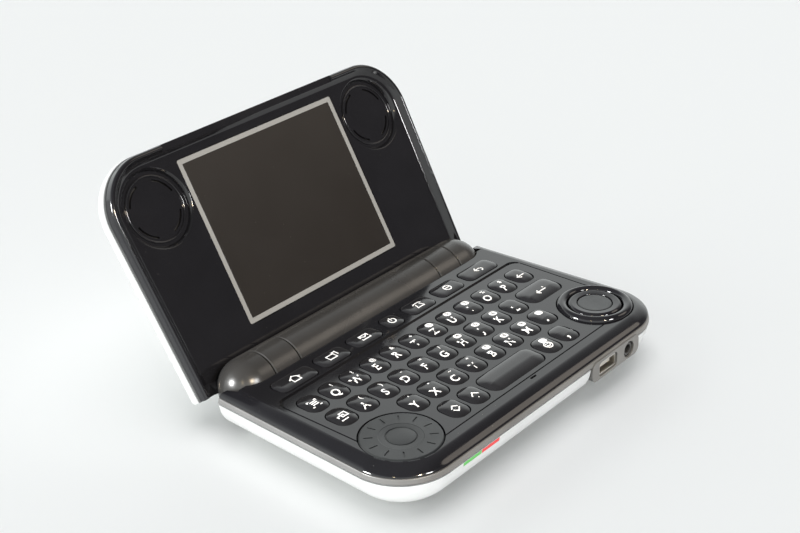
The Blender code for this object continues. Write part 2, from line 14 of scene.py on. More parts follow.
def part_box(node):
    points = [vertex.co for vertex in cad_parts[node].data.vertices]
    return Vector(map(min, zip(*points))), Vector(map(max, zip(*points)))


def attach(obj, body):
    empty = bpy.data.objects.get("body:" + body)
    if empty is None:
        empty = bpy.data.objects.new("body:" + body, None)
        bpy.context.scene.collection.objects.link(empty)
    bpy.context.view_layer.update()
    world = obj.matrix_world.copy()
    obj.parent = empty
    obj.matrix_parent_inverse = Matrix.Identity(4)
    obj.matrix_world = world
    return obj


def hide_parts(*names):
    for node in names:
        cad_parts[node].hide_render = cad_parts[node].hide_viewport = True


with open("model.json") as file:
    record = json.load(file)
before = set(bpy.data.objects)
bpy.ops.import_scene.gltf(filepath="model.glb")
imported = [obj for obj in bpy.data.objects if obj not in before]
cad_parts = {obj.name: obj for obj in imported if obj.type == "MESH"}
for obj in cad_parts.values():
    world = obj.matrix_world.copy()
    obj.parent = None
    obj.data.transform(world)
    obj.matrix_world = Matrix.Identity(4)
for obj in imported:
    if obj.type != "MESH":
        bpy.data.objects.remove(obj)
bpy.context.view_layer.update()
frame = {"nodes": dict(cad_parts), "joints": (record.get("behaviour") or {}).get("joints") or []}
MM = 0.001


def box_mm(node):
    low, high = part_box(node)
    return low / MM, high / MM


def middle(node):
    low, high = box_mm(node)
    return (low + high) / 2


# ---------------------------------------- sizes from the frame
BAND_LOW, BAND_HIGH = box_mm("base_side_frame")
WHEEL_LOW, WHEEL_HIGH = box_mm("scroll_wheel")
RING_LOW, RING_HIGH = box_mm("nav_ring")
OK_LOW, OK_HIGH = box_mm("ok_button")
KEY_TOP = box_mm("key_q")[1].z
SHELL_TOP = box_mm("base_lower_case")[1].z
HINGE = Vector(next(j for j in frame["joints"] if j["name"] == "lid_hinge")["pos_m"]) / MM

HALF_WIDTH = BAND_HIGH.x
CORNER_X = middle("nav_ring").x
CORNER_Y = middle("nav_ring").y
CORNER_R = HALF_WIDTH - CORNER_X
FRONT_Y = CORNER_Y - CORNER_R
EAR_Y = BAND_HIGH.y
DIAL_R = (WHEEL_HIGH.x - WHEEL_LOW.x) / 2
OK_R = (OK_HIGH.x - OK_LOW.x) / 2
KEY_PROUD = 0.5                 # a key's top stands this far above the deck
DECK_Z = KEY_TOP - KEY_PROUD
DECK_T = 1.6
EAR_FALL_Y = EAR_Y - 5.2        # the top of each ear falls away behind this line
EAR_FALL = 1.7
FOOT_REACH = 5.2                # the closed lid's foot comes this far in front of the hinge axis
TAPER = 2.3                     # how much narrower each side is at the hinge
GAP = 0.3
SEAM_Z = BAND_HIGH.z + GAP / 2
BAND_Z = SHELL_TOP + GAP
WALL_T = 1.9                    # inner face of the base's walls, in from its outline
REAR_STEP = 1.5                 # the walls' inner parts stop this far short of the ears
OVER = 1                        # a cutting tool runs this far past the surface it cuts

RIM_START = 0.4                 # the deck's foot, in from the outline
RIM_RUN = 4.0                   # the rim of the deck rounds over across this width
RIM_FULL = 1.4                  # 1 is a flat slope, 2 an ellipse; low enough for the closed lid
RIM_STEPS = 16

BASE_AXIS = (HINGE.y, HINGE.z)  # the hinge's axis in the base's frame, and in the lid's
LID_AXIS = (0, 0)
BARREL_R = 7.9
BARREL_EDGE = 0.25              # chamfer on the ends of the barrel's segments
BORE_R = 3.4
TROUGH_R = 8.25
TROUGH_END = 51.9
KNUCKLE = (29.9, 39.1)
BARREL_BEND = 43.5
BARREL_END = 51.5
TIP_TURN = 86.0                 # the rounded tip stops this many degrees round, on a small flat
TIP_FLAT_R = 0.5
TIP_STEPS = 24
OPEN_TILT = math.radians(30.0)

FACE_Y = 5.1                    # lid frame: depth of the inner face
CREST_Y = 3.4
LID_SEAM_Y = 6.2                # where the black face half meets the grey band
BACK_Y = 13.7
LID_FOOT = 1.0
SCREEN_X = 30.5
SCREEN_Z = (12.8, 61.7)
BORDER_W = 1.4
DIAL_Z = HINGE.y - CORNER_Y
LID_TOP = HINGE.y - FRONT_Y
RECESS_R = 11.0
RECESS_DEPTH = 1.3
LIP_X = (-34.0, 32.5)           # the opening lip, cut in the crest of the rim
LIP_DEPTH = 0.8
LIP_REACH = 3.0
EAR_RELIEF_X = (50.9, 53.4)     # no rim here on the foot: the base's ears fit in when closed
EAR_RELIEF_Z = 4.8

CORNER_STEPS = 28               # points on a quarter circle of the body outline
ROUND = 96

LID_FRAME = Matrix.Translation(HINGE * MM) @ Matrix.Rotation(-OPEN_TILT, 4, "X")


# ---------------------------------------- outlines
def arc(cx, cy, radius, start, end, steps):
    points = []
    for i in range(steps + 1):
        angle = math.radians(start + (end - start) * i / steps)
        points.append((cx + radius * math.cos(angle), cy + radius * math.sin(angle)))
    return points


def circle(cx, cy, radius, steps=ROUND):
    return arc(cx, cy, radius, 0, 360, steps)[:-1]


def case_outline(inset, rear=EAR_Y):
    """Plan of the body, pulled in by inset; the sides taper towards the hinge."""
    share = (rear - CORNER_Y) / (EAR_Y - CORNER_Y)
    rear_x = HALF_WIDTH - TAPER * share - inset
    points = [(rear_x, rear), (-rear_x, rear)]
    points += arc(-CORNER_X, CORNER_Y, CORNER_R - inset, 180, 270, CORNER_STEPS)
    points += arc(CORNER_X, CORNER_Y, CORNER_R - inset, 270, 360, CORNER_STEPS)
    return points


def lid_outline(inset):
    """The same plan seen in the lid's frame, standing on its foot."""
    foot = HINGE.y - LID_FOOT - inset
    return [(x, HINGE.y - y) for x, y in case_outline(inset, foot)]


def rounded_rect(cx, cy, width, height, radius, steps=8):
    x = width / 2 - radius
    y = height / 2 - radius
    points = arc(cx + x, cy + y, radius, 0, 90, steps)
    points += arc(cx - x, cy + y, radius, 90, 180, steps)
    points += arc(cx - x, cy - y, radius, 180, 270, steps)
    points += arc(cx + x, cy - y, radius, 270, 360, steps)
    return points


EASE_SHARE = 0.45               # a rounded corner takes at most this share of each side


def eased(profile, radius, steps=4):
    """A profile whose inner corners are rounded to about this radius."""
    points = [Vector(p) for p in profile]
    out = [points[0]]
    for before, corner, after in zip(points, points[1:], points[2:]):
        back = before - corner
        ahead = after - corner
        reach = min(radius, back.length * EASE_SHARE, ahead.length * EASE_SHARE)
        start = corner + back.normalized() * reach
        end = corner + ahead.normalized() * reach
        for i in range(steps + 1):
            t = i / steps
            out.append(start * (1 - t) ** 2 + corner * 2 * t * (1 - t) + end * t ** 2)
    out.append(points[-1])
    return [tuple(p) for p in out]


def level(outline, z):
    return [(x, y, z) for x, y in outline]


def upright(outline, y):
    return [(x, y, z) for x, z in outline]


# ---------------------------------------- mesh makers
def add_loft(bm, rings, closed=False):
    loops = [[bm.verts.new(p) for p in ring] for ring in rings]
    pairs = list(zip(loops, loops[1:]))
    if closed:
        pairs.append((loops[-1], loops[0]))
    for lower, upper in pairs:
        count = len(lower)
        for i in range(count):
            j = (i + 1) % count
            bm.faces.new((lower[i], lower[j], upper[j], upper[i]))
    if not closed:
        bm.faces.new(loops[0][::-1])
        bm.faces.new(loops[-1])


def add_block(bm, x0, x1, y0, y1, z0, z1):
    corners = ((x0, y0), (x1, y0), (x1, y1), (x0, y1))
    add_loft(bm, [level(corners, z0), level(corners, z1)])


def turned(profile, centre, axis="z", segments=ROUND):
    """Rings of a turned shape; the profile is (radius, place along the axis)."""
    rings = []
    for radius, along in profile:
        ring = circle(*centre, radius, segments)
        if axis == "z":
            rings.append([(x, y, along) for x, y in ring])
        else:
            rings.append([(along, y, z) for y, z in ring])
    return rings


def to_object(bm, name):
    bmesh.ops.scale(bm, vec=(MM, MM, MM), verts=bm.verts)
    bmesh.ops.recalc_face_normals(bm, faces=bm.faces)
    mesh = bpy.data.meshes.new(name)
    bm.to_mesh(mesh)
    bm.free()
    obj = bpy.data.objects.new(name, mesh)
    bpy.context.scene.collection.objects.link(obj)
    return obj


def bake_modifiers(obj):
    """Replace an object's mesh with the one its modifiers give."""
    graph = bpy.context.evaluated_depsgraph_get()
    result = bpy.data.meshes.new_from_object(obj.evaluated_get(graph))
    obj.modifiers.clear()
    obj.data = result


def cut(obj, bm, operation="DIFFERENCE"):
    tool = to_object(bm, "tool")
    modifier = obj.modifiers.new("cut", "BOOLEAN")
    modifier.operation = operation
    modifier.solver = "EXACT"
    modifier.object = tool
    bake_modifiers(obj)
    bpy.data.objects.remove(tool)


BEVEL_ANGLE = math.radians(50)  # edges sharper than this get a fine radius
SHARP_ANGLE = math.radians(42)  # edges sharper than this are shaded as edges


def soften(obj, width):
    """A fine radius on the sharp edges, in millimetres."""
    modifier = obj.modifiers.new("soften", "BEVEL")
    modifier.width = width * MM
    modifier.segments = 2
    modifier.limit_method = "ANGLE"
    modifier.angle_limit = BEVEL_ANGLE
    bake_modifiers(obj)


def put(obj, x, y):
    """Stand a piece that was made about its own middle at its place in the plan."""
    obj.location = (x * MM, y * MM, 0)
    bpy.context.view_layer.update()


def settle(obj, body, materials, stands_for=(), lid=False):
    """Shade a finished piece, give it its materials and hang it on its body."""
    inks = [face.material_index for face in obj.data.polygons]
    obj.data.materials.clear()
    for material in materials:
        obj.data.materials.append(material)
    obj.data.polygons.foreach_set("material_index", inks)
    obj.data.shade_smooth()
    obj.data.set_sharp_from_angle(angle=SHARP_ANGLE)
    weighted = obj.modifiers.new("normals", "WEIGHTED_NORMAL")
    weighted.keep_sharp = True
    if lid:
        obj.data.transform(LID_FRAME)
    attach(obj, body)
    if stands_for:
        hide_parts(*stands_for)


# ---------------------------------------- materials
NOISE_SPAN = (0.3, 0.7)         # most values of a noise texture lie in here
CLOUD_SCALE = 90                # texture scales, in cells per metre
SMEAR_SCALE = 45
GRAIN_SCALE = 9000
DUST_SCALE = 420
GRAIN_HEIGHT = 0.00003          # metres
DUST_COLOUR = (0.2, 0.2, 0.19, 1.0)
DUST_CORE = 0.6                 # a speck of dust is solid to this share of its size


def nodes_of(name):
    material = bpy.data.materials.new(name)
    material.use_nodes = True
    tree = material.node_tree
    return material, tree, tree.nodes["Principled BSDF"]


def texture(tree, kind, scale, **settings):
    coords = tree.nodes.new("ShaderNodeTexCoord")
    node = tree.nodes.new(kind)
    node.inputs["Scale"].default_value = scale
    for key, value in settings.items():
        node.inputs[key].default_value = value
    tree.links.new(coords.outputs["Object"], node.inputs["Vector"])
    return node


def ramp(tree, source, stops):
    """A value turned into colour; the stops are (place, colour)."""
    node = tree.nodes.new("ShaderNodeValToRGB")
    elements = node.color_ramp.elements
    for element, (place, colour) in zip(elements, stops):
        element.position = place
        element.color = (*colour, 1.0)
    tree.links.new(source, node.inputs["Fac"])
    return node.outputs["Color"]


def remap(tree, source, low, high):
    """A noise value turned into one that runs from low to high."""
    node = tree.nodes.new("ShaderNodeMapRange")
    node.inputs["From Min"].default_value = NOISE_SPAN[0]
    node.inputs["From Max"].default_value = NOISE_SPAN[1]
    node.inputs["To Min"].default_value = low
    node.inputs["To Max"].default_value = high
    tree.links.new(source, node.inputs["Value"])
    return node.outputs["Result"]


def plastic(name, colour, rough, cloud=0.12, grain=0.0, dust=0.0, metal=0.0):
    """Moulded plastic: clouded colour and gloss, a moulding grain and fine dust."""
    material, tree, shader = nodes_of(name)
    soft = texture(tree, "ShaderNodeTexNoise", CLOUD_SCALE, Detail=4.0)
    dark = [c * (1 - cloud) for c in colour]
    light = [min(1.0, c * (1 + cloud)) for c in colour]
    shade = ramp(tree, soft.outputs["Fac"], zip(NOISE_SPAN, (dark, light)))
    shader.inputs["Metallic"].default_value = metal
    if dust:
        cells = texture(tree, "ShaderNodeTexVoronoi", DUST_SCALE, Randomness=1.0)
        stops = ((dust * DUST_CORE, (1, 1, 1)), (dust, (0, 0, 0)))
        mask = ramp(tree, cells.outputs["Distance"], stops)
        mix = tree.nodes.new("ShaderNodeMix")
        mix.data_type = "RGBA"
        mix.inputs["B"].default_value = DUST_COLOUR
        tree.links.new(mask, mix.inputs["Factor"])
        tree.links.new(shade, mix.inputs["A"])
        shade = mix.outputs["Result"]
    tree.links.new(shade, shader.inputs["Base Color"])
    smear = texture(tree, "ShaderNodeTexNoise", SMEAR_SCALE, Detail=6.0, Distortion=1.2)
    tree.links.new(remap(tree, smear.outputs["Fac"], *rough), shader.inputs["Roughness"])
    if grain:
        fine = texture(tree, "ShaderNodeTexNoise", GRAIN_SCALE, Detail=2.0)
        bump = tree.nodes.new("ShaderNodeBump")
        bump.inputs["Strength"].default_value = grain
        bump.inputs["Distance"].default_value = GRAIN_HEIGHT
        tree.links.new(fine.outputs["Fac"], bump.inputs["Height"])
        tree.links.new(bump.outputs["Normal"], shader.inputs["Normal"])
    return material


# look: colour, lowest and highest roughness, and what else plastic() takes
LOOKS = {
    "gloss": ("gloss_black", (0.0075, 0.0075, 0.009), (0.05, 0.13), dict(dust=0.03)),
    "key": ("key_black", (0.012, 0.012, 0.0135), (0.07, 0.15), {}),
    "satin": ("satin_black", (0.03, 0.0293, 0.0285), (0.23, 0.29), dict(grain=0.2)),
    "dial": ("dial_grey", (0.1, 0.102, 0.102), (0.3, 0.4), dict(grain=0.35, metal=0.2)),
    "band": ("side_grey", (0.17, 0.17, 0.168), (0.3, 0.4), dict(grain=0.2, metal=0.3)),
    "white": ("shell_white", (0.9, 0.9, 0.89), (0.28, 0.36), dict(cloud=0.02, grain=0.12)),
    "screen": ("screen_dark", (0.0105, 0.0083, 0.0063), (0.3, 0.34), dict(cloud=0.03, dust=0.03)),
    "border": ("screen_border", (0.235, 0.24, 0.24), (0.4, 0.5), dict(cloud=0.03, grain=0.1)),
    "ink": ("legend_white", (0.84, 0.85, 0.86), (0.4, 0.5), dict(cloud=0.02)),
    "black": ("inner_black", (0.006, 0.006, 0.006), (0.6, 0.8), {}),
    "steel": ("plated_steel", (0.62, 0.6, 0.56), (0.2, 0.34), dict(cloud=0.05, metal=1.0)),
    "gold": ("gold_contact", (0.7, 0.44, 0.18), (0.25, 0.35), dict(cloud=0.08, metal=1.0)),
    "rubber": ("mat_rubber", (0.03, 0.03, 0.031), (0.7, 0.85), dict(grain=0.4)),
    "board": ("board_green", (0.02, 0.11, 0.05), (0.35, 0.5), dict(cloud=0.3)),
    "cell": ("battery_wrap", (0.06, 0.06, 0.065), (0.4, 0.5), dict(grain=0.2)),
    "green": ("strip_green", (0.1, 0.42, 0.1), (0.35, 0.45), dict(cloud=0.04)),
    "red": ("strip_red", (0.62, 0.035, 0.04), (0.35, 0.45), dict(cloud=0.04)),
}
MATERIALS = {
    look: plastic(name, colour, rough, **more)
    for look, (name, colour, rough, more) in LOOKS.items()
}


# ---------------------------------------- keys
RIDGE_FORWARD = 0.5             # the ridge of a key top lies this far in front of its middle
RIDGE_SOFT = 0.08               # how gently the top turns over the ridge, and where it starts to
RIDGE_START = 0.1
PILLOW = 4                      # squareness of the contours of a key top
EDGE_FALL = 3.2                 # how late the top falls away towards its edge
# corner radius, fall at the edge and slope in front of the ridge
LETTER_CAP = (2.7, 0.4, 0.2)
FUNCTION_CAP = (1.9, 0.3, 0.04)
CAP_RINGS = 12                  # contours of a key top, closer together near its edge
CAP_SPACING = 1.5
CAP_REACH = 0.97                # the last contour, as a share of the way to the middle
CAP_LEAST_R = 0.05


def key_height(x, y, half_x, half_y, top, drop, slope):
    """Pillowed key top with a soft ridge: nearly level behind it, falling in front."""
    reach = min(half_x, half_y)
    u = max(0.0, abs(x) - (half_x - reach)) / reach
    v = max(0.0, abs(y) - (half_y - reach)) / reach
    round_off = (u ** PILLOW + v ** PILLOW) ** (1 / PILLOW)
    behind = y + RIDGE_FORWARD
    front = (math.sqrt(behind * behind + RIDGE_SOFT) - behind) / 2 - RIDGE_START
    return top - drop * round_off ** EDGE_FALL - slope * max(0.0, front)


def ring_line(cx, cy, radius, start=0, end=360, steps=16):
    return arc(cx, cy, radius, start, end, steps)


def box_line(cx, cy, width, height):
    x = width / 2
    y = height / 2
    return [
        (cx - x, cy - y), (cx + x, cy - y), (cx + x, cy + y), (cx - x, cy + y), (cx - x, cy - y),
    ]


# each icon is a few lines of ink, drawn round the key's middle
ICONS = {
    "menu": (box_line(0, 0, 3.6, 3.2), [(-1.1, 0.8), (1.1, 0.8)], [(-1.1, 0), (1.1, 0)],
             [(-1.1, -0.8), (1.1, -0.8)]),
    "app": (box_line(-0.6, -0.4, 2.4, 2.2), box_line(0.8, 0.7, 2.4, 2.0)),
    "backspace": ([(1.7, 0), (-1.7, 0)], [(-0.5, 1.0), (-1.7, 0), (-0.5, -1.0)]),
    "enter": ([(2.4, 1.0), (2.4, -0.4), (-2.2, -0.4)], [(-1.1, 0.5), (-2.2, -0.4), (-1.1, -1.3)]),
    "alt": ([(-1.3, 0.4), (0, 1.5), (1.3, 0.4)], [(-1.3, -0.4), (0, -1.5), (1.3, -0.4)]),
    "cap": ([(-1.4, -0.1), (0, 1.4), (1.4, -0.1)], [(0, 1.4), (0, -1.5)]),
    "home": ([(-2.2, 0.1), (0, 1.7), (2.2, 0.1)],
             [(-1.5, 0.4), (-1.5, -1.5), (1.5, -1.5), (1.5, 0.4)]),
    "messages": (box_line(-0.5, -0.2, 3.2, 2.2), [(1.1, 1.0), (1.1, 1.5), (2.4, 1.5), (2.4, -0.4)]),
    "mail": (box_line(0, 0, 3.6, 2.5), [(-1.8, 1.2), (0, -0.2), (1.8, 1.2)]),
    "power": (ring_line(0, -0.1, 1.35, 125, 415), [(0, 1.7), (0, 0.1)]),
    "phone": ([(-1.9, 0.9), (-1.1, 1.3), (1.1, 1.3), (1.9, 0.9)],
              [(-1.0, 0.5), (-1.6, -1.4), (1.6, -1.4), (1.0, 0.5)]),
    "browser": (ring_line(0, 0, 1.5), [(-1.5, 0), (1.5, 0)], [(0, 1.5), (0, -1.5)]),
    "back": ([(-1.6, 0.2), (-0.5, 1.2)], [(-1.6, 0.2), (-0.5, -0.8)], [(-1.6, 0.2), (0.9, 0.2)],
             ring_line(0.9, -0.6, 0.8, 90, -90, 8)),
    "emoticon": (ring_line(0, 0, 1.5), ring_line(0, 0.1, 0.8, 200, 340, 8),
                 [(-0.5, 0.5), (-0.5, 0.7)], [(0.5, 0.5), (0.5, 0.7)]),
}
SIGNS = dict(zip("qwertasdfgyxcvop", "!?@&+()-=/'\"~*%$"))
NUMERALS = dict(zip("zuihjkbnm", "123456789"))
FUNCTION_NAMES = ("home", "messages", "mail", "power", "phone", "browser", "back")

INK_PROUD = 0.03                # ink stands this far above the key top and reaches this far in
INK_SUNK = 0.08
INK_SLOT = 1                    # material slots of a key: the cap, white ink, black ink
BLACK_SLOT = 2
ICON_SCALE = 0.82
ICON_LINE = 0.32
ICON_DROP = 0.5
FUNCTION_ICON_DROP = 0.2
LINE_OVERRUN = 0.35             # a line runs past its ends by this share of its width
# size and place of each kind of letter, from the key's middle
LETTER = (3.4, -0.75, -1.35)
SIGN = (1.9, 0.9, 1.85)
NUMERAL = (1.8, 0.75, 1.85)
STOPS = {"period": (".", 4.6, -0.6, -1.2), "comma": (",", 4.6, -0.6, -0.9)}
LETTER_WEIGHT = 0.012           # strokes are thickened by this share of the letter's size
LETTER_MERGE = 0.0005
PATCH = (2.3, 2.1, 0.85)        # width, height and corner radius of the patch under a numeral
PATCH_SHARES = (1.0, 0.75, 0.5, 0.25, 0.02)
NUMERAL_PROUD = 0.02            # a numeral stands this far above its patch


def ink_prism(bm, outline, height):
    """A thin raised body of ink over one convex outline, following the key top."""
    low = [bm.verts.new((x, y, height(x, y) - INK_SUNK)) for x, y in outline]
    high = [bm.verts.new((x, y, height(x, y) + INK_PROUD)) for x, y in outline]
    count = len(outline)
    faces = [bm.faces.new(low[::-1]), bm.faces.new(high)]
    for i in range(count):
        j = (i + 1) % count
        faces.append(bm.faces.new((low[i], low[j], high[j], high[i])))
    for face in faces:
        face.material_index = INK_SLOT


def ink_patch(bm, cx, cy, width, length, radius, height):
    """A filled rounded patch of ink that follows the curved key top."""
    edge = rounded_rect(0, 0, width, length, radius, 5)
    rings = [[(cx + x, cy + y, height(cx + x, cy + y) - INK_SUNK) for x, y in edge]]
    for share in PATCH_SHARES:
        spots = [(cx + x * share, cy + y * share) for x, y in edge]
        rings.append([(x, y, height(x, y) + INK_PROUD) for x, y in spots])
    before = len(bm.faces)
    add_loft(bm, rings)
    bm.faces.ensure_lookup_table()
    for face in bm.faces[before:]:
        face.material_index = INK_SLOT


def ink_line(bm, points, width, height):
    """Ink along a line, one short convex body for each stretch."""
    for a, b in zip(points, points[1:]):
        start = Vector(a)
        end = Vector(b)
        along = (end - start).normalized() * width * LINE_OVERRUN
        across = Vector((-along.y, along.x)).normalized() * width / 2
        start = start - along
        end = end + along
        corners = (start - across, end - across, end + across, start + across)
        ink_prism(bm, [tuple(c) for c in corners], height)


def ink_text(bm, text, size, cx, cy, height, slot=INK_SLOT):
    """A letter or sign in ink, centred, as thin closed bodies."""
    curve = bpy.data.curves.new("legend", "FONT")
    curve.body = text
    curve.size = size
    curve.align_x = "CENTER"
    curve.align_y = "CENTER"
    curve.offset = LETTER_WEIGHT * size
    curve.extrude = 0.5
    curve.resolution_u = 4
    holder = bpy.data.objects.new("legend", curve)
    bpy.context.scene.collection.objects.link(holder)
    graph = bpy.context.evaluated_depsgraph_get()
    mesh = bpy.data.meshes.new_from_object(holder.evaluated_get(graph))
    letter = bmesh.new()
    letter.from_mesh(mesh)
    bmesh.ops.remove_doubles(letter, verts=letter.verts, dist=LETTER_MERGE)
    made = {}
    for vert in letter.verts:
        x = vert.co.x + cx
        y = vert.co.y + cy
        lift = INK_PROUD if vert.co.z > 0 else -INK_SUNK
        made[vert] = bm.verts.new((x, y, height(x, y) + lift))
    for face in letter.faces:
        new = bm.faces.new([made[v] for v in face.verts])
        new.material_index = slot
    letter.free()
    bpy.data.objects.remove(holder)
    bpy.data.curves.remove(curve)
    bpy.data.meshes.remove(mesh)


def add_legend(bm, name, height):
    if name in ICONS:
        drop = FUNCTION_ICON_DROP if name in FUNCTION_NAMES else ICON_DROP
        for line in ICONS[name]:
            points = [(x * ICON_SCALE, y * ICON_SCALE - drop) for x, y in line]
            ink_line(bm, points, ICON_LINE, height)
    elif name in STOPS:
        ink_text(bm, *STOPS[name], height)
    elif len(name) == 1:
        ink_text(bm, name.upper(), *LETTER, height)
    if name in SIGNS:
        ink_text(bm, SIGNS[name], *SIGN, height)
    if name in NUMERALS or name in ("period", "emoticon"):
        ink_patch(bm, *NUMERAL[1:], *PATCH, height)
    if name in NUMERALS:
        def above(x, y):
            return height(x, y) + NUMERAL_PROUD

        ink_text(bm, NUMERALS[name], *NUMERAL, above, BLACK_SLOT)


def make_key(node):
    """A glossy pillowed cap with its printed legend, on the key's own body."""
    low, high = box_mm(node)
    name = node[len("key_"):]
    half_x = (high.x - low.x) / 2
    half_y = (high.y - low.y) / 2
    corner, drop, slope = FUNCTION_CAP if name in FUNCTION_NAMES else LETTER_CAP

    def height(x, y):
        return key_height(x, y, half_x, half_y, high.z, drop, slope)

    bm = bmesh.new()
    reach = min(half_x, half_y)
    rings = [level(rounded_rect(0, 0, 2 * half_x, 2 * half_y, corner, 8), low.z)]
    for i in range(CAP_RINGS + 1):
        inset = reach * CAP_REACH * (i / CAP_RINGS) ** CAP_SPACING
        radius = max(CAP_LEAST_R, corner - inset * corner / reach)
        outline = rounded_rect(0, 0, 2 * (half_x - inset), 2 * (half_y - inset), radius, 8)
        rings.append([(x, y, height(x, y)) for x, y in outline])
    add_loft(bm, rings)
    add_legend(bm, name, height)
    cap = to_object(bm, f"{node}_cap")
    put(cap, (low.x + high.x) / 2, (low.y + high.y) / 2)
    looks = [MATERIALS["key"], MATERIALS["ink"], MATERIALS["black"]]
    settle(cap, node, looks, [node])


# ---------------------------------------- base
KEY_HOLE_R = 3.0                # corner radius of a letter key's aperture, and a function key's
FUNCTION_HOLE_R = 2.2
HOLE_DEPTH = 3
SLOT_W = 0.7                    # width of the microphone's slot and of the cover's grip grooves
SLOT_R = 0.34
MIC_Y = -31.6
MIC_LENGTH = 2.4
MIC_DEPTH = 0.8
PANEL_R = 8.5                   # the groove round the keys runs round the two controls
PANEL_REAR_Y = 12.6
PANEL_CORNER_R = 3.0
PANEL_GROOVE = (0.4, 1.2)       # width of the groove at the sides and front, and at the rear
PANEL_GROOVE_DEPTH = 0.45
HOUSING_X = 29.5                # middle and size of the socket housing on the front
HOUSING_Z = 9.6
HOUSING_W = 22.6
HOUSING_H = 5.8
HOUSING_R = 2.0
HOUSING_DEPTH = 7.8
USB_HOLE = (8.6, 4.3, 1.0)      # width, height and corner radius
JACK_HOLE_R = 2.4
SOCKET_DEPTH = 9
GRIPS = 5                       # grooves for the thumb on the battery cover
GRIP_START = 4.0
GRIP_PITCH = 1.5
GRIP_LENGTH = 13.0
GRIP_NARROWS = 1.4
GRIP_DEPTH = 0.35
CONTACTS = 5                    # contacts on the socket's tongue
CONTACT_PITCH = 0.8
CONTACT_HALF = 0.2
CONTACT_Y = (1.05, 5.5)         # behind the socket's face
CONTACT_Z = (0.5, 0.58)         # above the socket's middle
STRIPS = (("green", -36.8, -29.7), ("red", -29.5, -22.4))
STRIP_EDGES = ((10.0, 0.24), (11.1, 0.05))      # height, and in from the front of the outline
STRIP_SUNK = 0.02
STRIP_T = 0.3


def trough(axis):
    """Room for the barrel, right across the object."""
    bm = bmesh.new()
    add_loft(bm, turned(((TROUGH_R, -TROUGH_END), (TROUGH_R, TROUGH_END)), axis, "x"))
    return bm


def barrel_tip(spare=0.0):
    """Rounded end of the barrel as (radius, place along the axis), grown by spare."""
    tip = []
    for i in range(TIP_STEPS + 1):
        angle = math.radians(TIP_TURN * i / TIP_STEPS)
        reach = math.sin(angle) / math.sin(math.radians(TIP_TURN))
        radius = TIP_FLAT_R + (BARREL_R - TIP_FLAT_R) * math.cos(angle) + spare
        tip.append((radius, BARREL_BEND + (BARREL_END - BARREL_BEND) * reach + spare))
    return tip


def deck_trough():
    """Room for the barrel: the deck hugs its rounded ends, in front of the lid's foot."""
    room = barrel_tip(TROUGH_R - BARREL_R)
    profile = [(radius, -along) for radius, along in reversed(room)] + room
    bm = bmesh.new()
    add_loft(bm, turned(profile, BASE_AXIS, "x"))
    shape = to_object(bm, "tool_part")
    bm = bmesh.new()
    for side in (-1, 1):
        ends = sorted((side * (BARREL_BEND - OVER), side * TROUGH_END))
        depth = (HINGE.y - FOOT_REACH, EAR_Y + 2 * OVER)
        add_block(bm, *ends, *depth, HINGE.z - BARREL_R, DECK_Z + OVER)
    cut(shape, bm, "UNION")
    bm = bmesh.new()
    bm.from_mesh(shape.data)
    bmesh.ops.scale(bm, vec=(1 / MM, 1 / MM, 1 / MM), verts=bm.verts)
    bpy.data.objects.remove(shape)
    return bm


def slope_ears(deck):
    """The top of each ear beside the barrel falls away towards the rear."""
    bm = bmesh.new()
    for side in (-1, 1):
        ends = sorted((side * (TROUGH_END - OVER / 2), side * (HALF_WIDTH + OVER)))
        wedge = ((EAR_FALL_Y, DECK_Z), (EAR_Y + OVER, DECK_Z - EAR_FALL),
                 (EAR_Y + OVER, DECK_Z + OVER), (EAR_FALL_Y, DECK_Z + OVER))
        add_loft(bm, [[(x, y, z) for y, z in wedge] for x in ends])
    cut(deck, bm)


def key_nodes():
    return sorted(n for n in frame["nodes"] if n.startswith("key_"))


def make_deck():
    """Gloss black upper case: deck, apertures, panel groove and rounded rim."""
    foot = SEAM_Z + GAP / 2
    section = [(RIM_START, foot)]
    for i in range(1, RIM_STEPS + 1):
        share = (i / RIM_STEPS) ** 2
        rise = (1 - (1 - share) ** RIM_FULL) ** (1 / RIM_FULL)
        section.append((RIM_START + RIM_RUN * share, foot + (DECK_Z - foot) * rise))
    rings = [
        level(case_outline(2.6, EAR_Y - REAR_STEP), DECK_Z - DECK_T),
        level(case_outline(WALL_T, EAR_Y - REAR_STEP), foot),
    ]
    rings += [level(case_outline(inset, EAR_Y - 0.1 * inset), z) for inset, z in section]
    bm = bmesh.new()
    add_loft(bm, rings)
    deck = to_object(bm, "deck_case")
    cut(deck, deck_trough())

    bm = bmesh.new()
    for node in key_nodes():
        low, high = box_mm(node)
        corner = FUNCTION_HOLE_R if node[len("key_"):] in FUNCTION_NAMES else KEY_HOLE_R
        centre = (low + high) / 2
        size = high - low
        hole = rounded_rect(centre.x, centre.y, size.x + 2 * GAP, size.y + 2 * GAP, corner, 8)
        add_loft(bm, [level(hole, DECK_Z - HOLE_DEPTH), level(hole, DECK_Z + OVER)])
    for side in (-1, 1):
        hole = circle(side * CORNER_X, CORNER_Y, DIAL_R + GAP)
        add_loft(bm, [level(hole, DECK_Z - HOLE_DEPTH), level(hole, DECK_Z + OVER)])
    slot = rounded_rect(0.0, MIC_Y, MIC_LENGTH, SLOT_W, SLOT_R, 4)
    add_loft(bm, [level(slot, DECK_Z - MIC_DEPTH), level(slot, DECK_Z + OVER)])
    cut(deck, bm)
    slope_ears(deck)
    soften(deck, 0.14)

    bm = bmesh.new()
    add_panel_groove(bm)
    cut(deck, bm)
    settle(deck, "base", [MATERIALS["gloss"]], ["base_top_case"])


